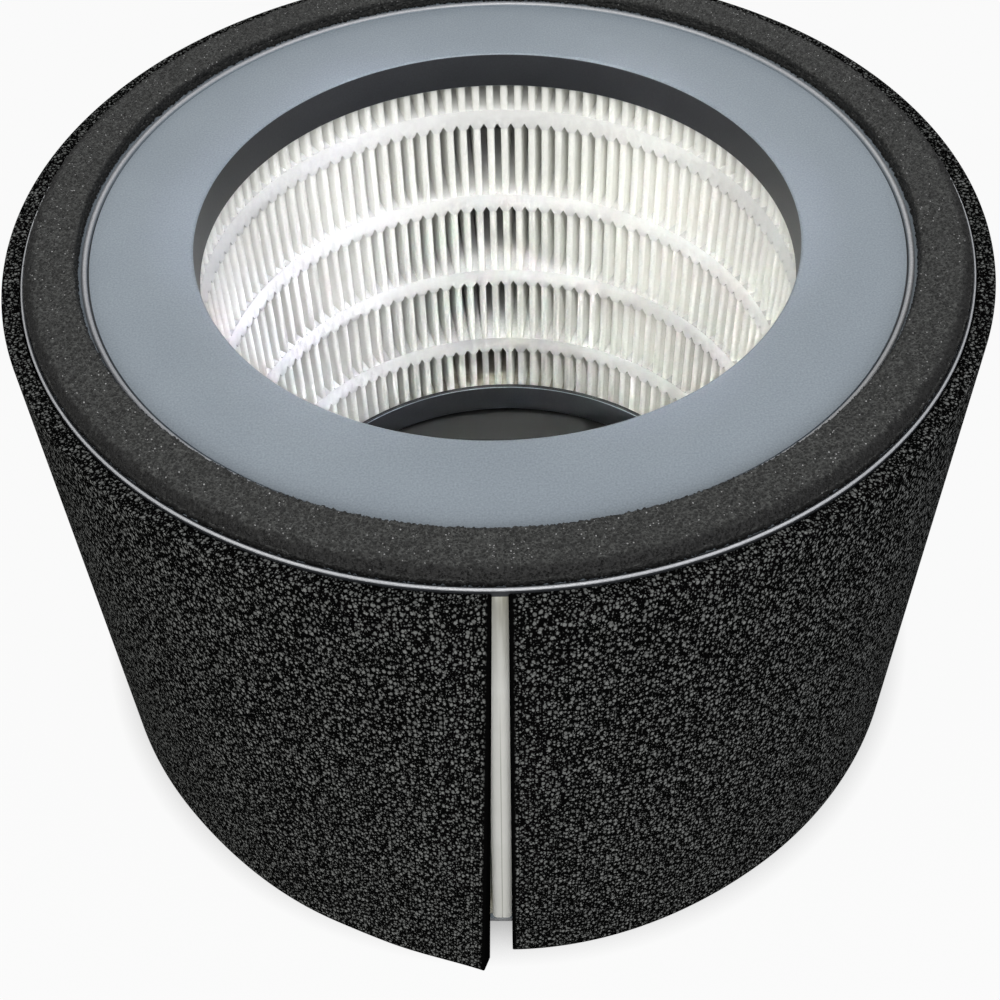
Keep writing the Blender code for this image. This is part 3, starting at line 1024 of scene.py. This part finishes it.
def wrap_finish():
    material, shader = new_material("carbon_sheet_speckled", 0.9, 0.0)
    place = add_node(material, "ShaderNodeTexCoord").outputs["UV"]
    pressed = combine_places(material, place, (1.0, 1.0 / DOT_STRETCH, 1.0))
    wobble = add_node(material, "ShaderNodeTexNoise", {"Vector": pressed, "Scale": 1500.0, "Detail": 2.0})
    bend = combine_places(material, wobble.outputs["Color"], (0.5, 0.5, 0.5), "SUBTRACT")
    inputs = {0: bend, "Scale": DOT_WOBBLE}
    small_bend = add_node(material, "ShaderNodeVectorMath", inputs, operation="SCALE")
    bent = combine_places(material, pressed, small_bend.outputs[0], "ADD")
    fine = dots(material, bent, 0.60 * MM, 0.0, -0.05 * MM, 0.27 * MM, 0.14 * MM)
    coarse = dots(material, bent, 0.95 * MM, 0.013, 0.10 * MM, 0.42 * MM, 0.18 * MM)
    faint = dots(material, bent, 0.44 * MM, 0.029, -0.06 * MM, 0.15 * MM, 0.12 * MM)
    speckle = combine(material, combine(material, fine, coarse, "MAXIMUM"), faint, "MAXIMUM")
    parts = add_node(material, "ShaderNodeSeparateXYZ", {"Vector": place})
    last_dot = SHEET_LENGTH - CLEAR_END
    from_start = ramp_between(material, parts.outputs["X"], CLEAR_END, CLEAR_END + CLEAR_FADE)
    from_end = ramp_between(material, parts.outputs["X"], last_dot, last_dot - CLEAR_FADE)
    from_foot = ramp_between(material, parts.outputs["Y"], CLEAR_FADE, 2 * CLEAR_FADE)
    clear = combine(material, combine(material, from_start, from_end), from_foot)
    shown = combine(material, speckle, clear)
    colour = mix_colours(material, shown, (0.0018, 0.0018, 0.0018, 1.0), (0.175, 0.18, 0.175, 1.0))
    wire(material, colour, shader.inputs["Base Color"])
    add_bump(material, shader, shown, 0.15 * MM, 0.5)
    return material


carbon_speckle = wrap_finish()

# %% The wrap, flat and then wrapped round
WRAP_THICKNESS = 3.5 * MM
WRAP_EDGE_ROUND = 0.3 * MM
WRAP_INNER = RIM_RADIUS + FIT_GAP
WRAP_START_TOP = math.radians(-89.8)
WRAP_START_FOOT = math.radians(-90.4)
WRAP_END_TOP = math.radians(268.6)
WRAP_END_FOOT = math.radians(267.4)
FREE_END_LENGTH = 35.3 * MM
WRAP_MIDDLE = WRAP_INNER + WRAP_THICKNESS / 2
FREE_END_START = WRAP_END_FOOT - FREE_END_LENGTH / WRAP_MIDDLE
LEFT_SWELL_AT = math.radians(253.5)
LEFT_SWELL = 2.05 * MM
RIGHT_SWELL_AT = math.radians(-90)
RIGHT_SWELL = 1.3 * MM
WIDE_SWELL = math.radians(34)
SHORT_SWELL = math.radians(17)
WRAP_COLUMNS = 400
WRAP_ROWS = 80


def flat_wrap(name):
    bpy.ops.object.select_all(action="DESELECT")
    bpy.ops.mesh.primitive_grid_add(
        x_subdivisions=WRAP_COLUMNS, y_subdivisions=WRAP_ROWS, size=1.0, rotation=(math.pi / 2, 0, 0)
    )
    piece = name_piece(name)
    bpy.ops.object.transform_apply(location=True, rotation=True, scale=True)
    bpy.ops.object.mode_set(mode="EDIT")
    bpy.ops.mesh.select_all(action="SELECT")
    bpy.ops.transform.translate(value=(0.5, 0, 0.5))
    bpy.ops.transform.resize(value=(SHEET_LENGTH, 1, WRAP_TOP), center_override=(0, 0, 0))
    bpy.ops.object.mode_set(mode="OBJECT")
    wall = piece.modifiers.new("Thickness", "SOLIDIFY")
    wall.thickness = WRAP_THICKNESS
    wall.offset = -1.0
    edge = piece.modifiers.new("Soft edges", "BEVEL")
    edge.width = WRAP_EDGE_ROUND
    edge.segments = 3
    apply_all(piece)
    return piece


def lay_out(piece):
    """The flat sheet is its own UV map, in metres; cut edges carry on over their thickness."""
    layer = piece.data.uv_layers.active or piece.data.uv_layers.new(name="sheet")
    for face in piece.data.polygons:
        for corner in face.loop_indices:
            co = piece.data.vertices[piece.data.loops[corner].vertex_index].co
            over = WRAP_THICKNESS - co.y
            along, up = co.x, co.z
            if abs(face.normal.z) > 0.7:
                up += DOT_STRETCH * (over if face.normal.z > 0 else -over)
            if abs(face.normal.x) > 0.7:
                along += over if face.normal.x > 0 else -over
            layer.data[corner].uv = (along, up)


def swell(angle, middle, height, before, after):
    """A smooth outward swelling round one angle, fading out before and after it."""
    away = angle - middle
    share = min(1.0, abs(away) / (after if away > 0 else before))
    return height * (1 + math.cos(math.pi * share)) / 2


def wrap_place(radius, along, down):
    """Where a point of the flat sheet comes to lie, as in the solid, with two swellings at the foot."""
    top_angle = WRAP_START_TOP + along * (WRAP_END_TOP - WRAP_START_TOP)
    foot_angle = WRAP_START_FOOT + along * (WRAP_END_FOOT - WRAP_START_FOOT)
    radius += down ** 2 * swell(foot_angle, LEFT_SWELL_AT, LEFT_SWELL, WIDE_SWELL, SHORT_SWELL)
    radius += down ** 2 * swell(foot_angle, RIGHT_SWELL_AT, RIGHT_SWELL, WIDE_SWELL, WIDE_SWELL)
    held = min(foot_angle, FREE_END_START)
    straight = (foot_angle - held) * WRAP_MIDDLE
    foot_x = radius * math.cos(held) - straight * math.sin(held)
    foot_y = radius * math.sin(held) + straight * math.cos(held)
    top_x = radius * math.cos(top_angle)
    top_y = radius * math.sin(top_angle)
    return top_x + down * (foot_x - top_x), top_y + down * (foot_y - top_y)


def wrap_round(piece):
    for vertex in piece.data.vertices:
        x, y = wrap_place(WRAP_INNER + vertex.co.y, vertex.co.x / SHEET_LENGTH, 1 - vertex.co.z / WRAP_TOP)
        vertex.co = (x, y, vertex.co.z)
    piece.data.update()


wrap = flat_wrap("carbon_sheet")
print("flat wrap", [round(v / MM, 1) for v in wrap.dimensions], "mm")
lay_out(wrap)
wrap_round(wrap)
bpy.ops.object.shade_smooth_by_angle(angle=math.radians(50))
finish_piece(wrap, carbon_speckle, ["carbon_wrap"])
